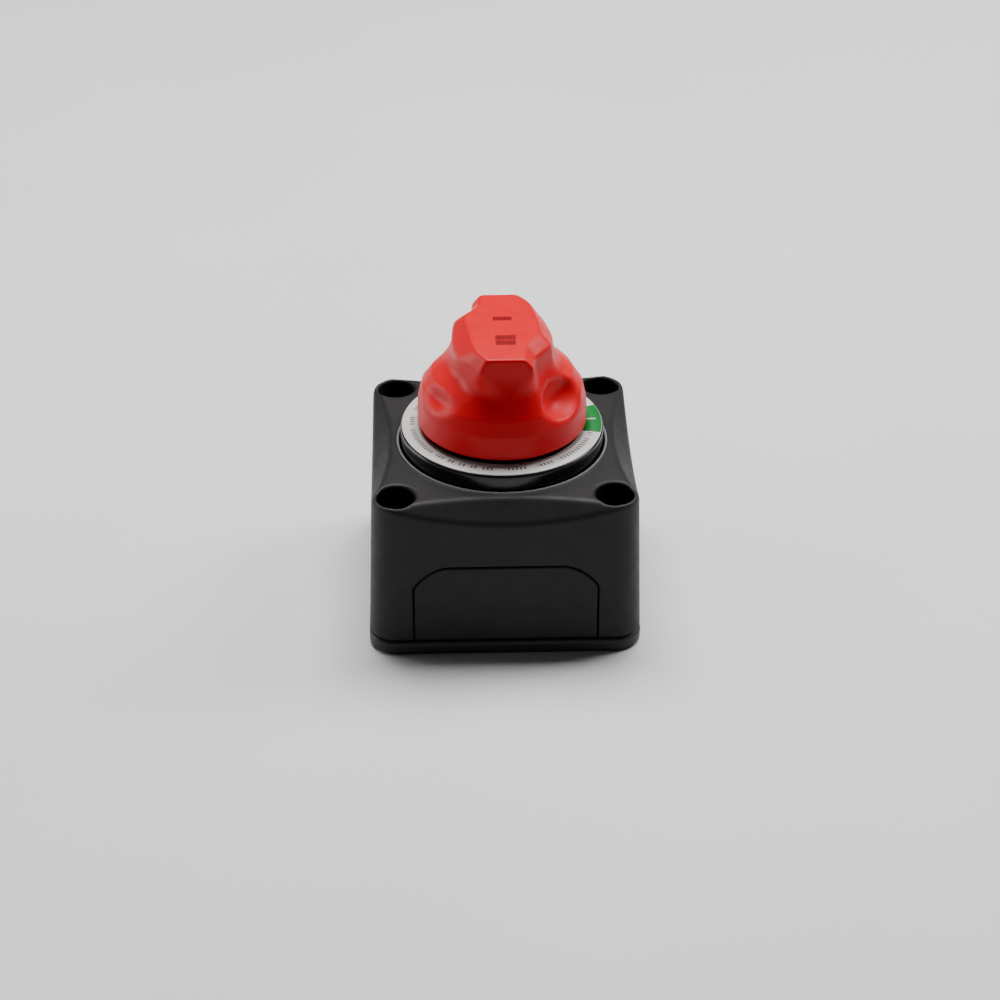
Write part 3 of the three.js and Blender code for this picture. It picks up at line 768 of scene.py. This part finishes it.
def profile_distance(radius, z, profile):
    """Distance to the region under a falling profile, in the plane of radius and height."""
    nearest = np.full(np.shape(radius), 1e9)
    for (r0, z0), (r1, z1) in zip(profile[:-1], profile[1:]):
        dr, dz = r1 - r0, z1 - z0
        share = np.clip(((radius - r0) * dr + (z - z0) * dz) / (dr * dr + dz * dz), 0, 1)
        nearest = np.minimum(nearest, np.hypot(radius - r0 - share * dr, z - z0 - share * dz))
    radii = [r for r, _ in profile[:-1]]
    heights = [h for _, h in profile[:-1]]
    under = z < np.interp(radius, radii, heights)
    falling = profile[1:]
    within = radius < np.interp(-z, [-h for _, h in falling], [r for r, _ in falling])
    return np.where(under & within, -nearest, nearest)


def dome_distance(x, y, z):
    """The round skirt, with its finger hollows cut out."""
    shape = profile_distance(np.hypot(x, y), z, DOME)
    for (cx, cy, cz), (rx, ry, rz) in HOLLOWS:
        for sign in (1, -1):
            level = ((x - sign * cx) / rx) ** 2 + ((y - sign * cy) / ry) ** 2
            stretch = np.sqrt(level + ((z - cz) / rz) ** 2)
            shape = soft_max(shape, (1 - stretch) * min(rx, ry, rz), HOLLOW_LIP)
    return shape


HUB_RADIUS = 10.0
HUB_FOOT = 50.6
CHANNEL_RADIUS = 18.6
CHANNEL_TOP = 53.0
SOCKET_HALF = 4.4
SOCKET_TOP = 64.3
CLIP_SLOT_LOW = (-3.3, 4.2, 40)
CLIP_SLOT_HIGH = (3.3, 5.2, 62)


def knob_distance(x, y, z):
    """Grip and skirt as one moulding, hollow underneath round a hub with the shaft's square socket."""
    radius = np.hypot(x, y)
    foot_blend = 3.0 + 0.5 * np.clip(np.abs(y) - 10, 0, 6)
    shape = soft_min(dome_distance(x, y, z), grip_distance(x, y, z), foot_blend)
    shape = soft_max(shape, KNOB_LOW[2] - z, 0.6)
    channel = np.maximum(slab(radius, HUB_RADIUS, CHANNEL_RADIUS), z - CHANNEL_TOP)
    shape = soft_max(shape, -channel, 0.5)
    socket = np.maximum(np.maximum(np.abs(x), np.abs(y)) - SOCKET_HALF, z - SOCKET_TOP)
    under_hub = np.maximum(radius - HUB_RADIUS - 0.5, z - HUB_FOOT)
    shape = np.maximum(shape, -np.minimum(socket, under_hub))
    return np.maximum(shape, -block(x, y, z, CLIP_SLOT_LOW, CLIP_SLOT_HIGH))


def make_knob():
    moulded("grip_knob", knob_distance, (KNOB_LOW, KNOB_HIGH), 0.36,
            RED, "rotor", ["knob"])


# ---------------------------------------------------------------- springs
SPRING_WIRE = 0.3
SPRING_TURNS = 3


def coil(radius, wire, length, turns, sides=12, steps_per_turn=40):
    """Points and quads of a coil of round wire with flat ends; it stands along Z, its middle at zero."""
    count = turns * steps_per_turn + 1
    turn = np.linspace(0, turns, count)
    level = (length - 2 * wire) * (np.clip((turn - 0.5) / (turns - 1), 0, 1) - 0.5)
    around = 2 * math.pi * np.arange(sides) / sides
    reach = radius + wire * np.cos(around)[None, :]
    angle = 2 * math.pi * turn[:, None]
    height = level[:, None] + wire * np.sin(around)[None, :]
    points = np.stack([reach * np.cos(angle), reach * np.sin(angle), height], -1).reshape(-1, 3)
    step, side = np.meshgrid(np.arange(count - 1), np.arange(sides), indexing="ij")
    here, ahead, beside = step * sides, (step + 1) * sides, (side + 1) % sides
    tube = np.stack([here + side, ahead + side, ahead + beside, here + beside], -1).reshape(-1, 4)
    across = np.arange(sides // 2 - 1)
    cap = np.stack([across, across + 1, sides - 2 - across, sides - 1 - across], -1)
    far_cap = cap[:, ::-1] + (count - 1) * sides
    return points, np.concatenate([tube, cap, far_cap])


def coil_spring(name, node, body, direction):
    """A coil in its CAD solid's place, standing along the axis of direction."""
    low, high = node_box(node)
    direction = np.array(direction)
    axis = np.abs(direction).argmax()
    size, middle = high - low, (low + high) / 2
    points, quads = coil(size[axis - 1] / 2 - SPRING_WIRE, SPRING_WIRE, size[axis], SPRING_TURNS)
    points = np.roll(points, axis - 2, axis=1) + middle
    piece = mesh_piece(name, points, quads, SPRING_STEEL, body, [node])
    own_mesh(piece)


def make_springs():
    coil_spring("bridge_coil", "bridge_spring", "rotor", (0, 0, 1))
    for side, sign in (("left", -1), ("right", 1)):
        coil_spring(f"detent_coil_{side}", f"detent_spring_{side}", "root", (sign, 0, 0))


# ---------------------------------------------------------------- inner pieces keep their CAD shapes
CAD_MATERIALS = {
    "insulator": PHENOLIC,
    "nylon": NYLON,
    "rubber": RUBBER,
    "copper": COPPER,
    "tinned_copper": TIN,
    "brass": BRASS,
    "plated_steel": STEEL,
    "spring_steel": SPRING_STEEL,
}


def dress_cad_nodes():
    """Gives every CAD node that stays in view the material of its slot."""
    slots = {part["node"]: part["material_slot"] for part in frame["record"]["subparts"]}
    for name, node in frame["nodes"].items():
        material = CAD_MATERIALS.get(slots[name])
        if material is None:
            continue
        node.data.materials.clear()
        node.data.materials.append(material)


# ---------------------------------------------------------------- floor, light and camera
def make_stage():
    mesh = bpy.data.meshes.new("floor")
    half = 6.0
    corners = [(-half, -half, 0), (half, -half, 0), (half, half, 0), (-half, half, 0)]
    mesh.from_pydata(corners, [], [(0, 1, 2, 3)])
    floor = bpy.data.objects.new("floor", mesh)
    bpy.context.scene.collection.objects.link(floor)
    plan = Plan("pale_floor")
    tone = plan.spread(plan.noise(6, 2), 0, 1)
    plan.link(plan.mix(tone, (0.66, 0.66, 0.65), (0.7, 0.7, 0.69)), plan.shader.inputs["Base Color"])
    plan.shader.inputs["Roughness"].default_value = 0.7
    mesh.materials.append(plan.material)


def area_light(name, place, target, size, power):
    light = bpy.data.lights.new(name, "AREA")
    light.shape = "RECTANGLE"
    light.size, light.size_y = size
    light.energy = power
    lamp = bpy.data.objects.new(name, light)
    bpy.context.scene.collection.objects.link(lamp)
    lamp.location = place
    lamp.rotation_euler = (Vector(target) - Vector(place)).to_track_quat("-Z", "Y").to_euler()


def make_lights():
    middle = (0, 0, 0.045)
    area_light("overhead", (0.0, 0.3, 0.9), middle, (0.7, 0.45), 17)
    area_light("left_window", (-0.8, 0.2, 0.16), middle, (0.4, 0.25), 2.6)
    area_light("right_window", (0.6, 0.27, 0.6), middle, (0.3, 0.3), 4)
    world = bpy.data.worlds.new("studio")
    bpy.context.scene.world = world
    world.use_nodes = True
    backdrop = world.node_tree.nodes["Background"]
    backdrop.inputs["Color"].default_value = (0.95, 0.96, 1.0, 1)
    backdrop.inputs["Strength"].default_value = 0.06


def make_camera():
    camera = bpy.data.cameras.new("camera")
    camera.lens = 89.4
    camera.sensor_width = 36
    camera.clip_start = 0.01
    view = bpy.data.objects.new("camera", camera)
    bpy.context.scene.collection.objects.link(view)
    pitch, yaw, roll = math.radians(32.28), math.radians(1.95), math.radians(0.13)
    level_share = math.cos(pitch)
    forward = Vector((math.sin(yaw) * level_share, math.cos(yaw) * level_share, -math.sin(pitch)))
    level = Vector((math.cos(yaw), -math.sin(yaw), 0))
    upright = level.cross(forward)
    right = level * math.cos(roll) + upright * math.sin(roll)
    up = upright * math.cos(roll) - level * math.sin(roll)
    turn = Matrix((right, up, -forward)).transposed().to_4x4()
    view.matrix_world = Matrix.Translation(Vector((-19.0, -545.1, 368.8)) * MM) @ turn
    bpy.context.scene.camera = view


make_camera()
make_stage()
make_lights()
make_casing()
make_dial()
make_knob()
make_springs()
dress_cad_nodes()
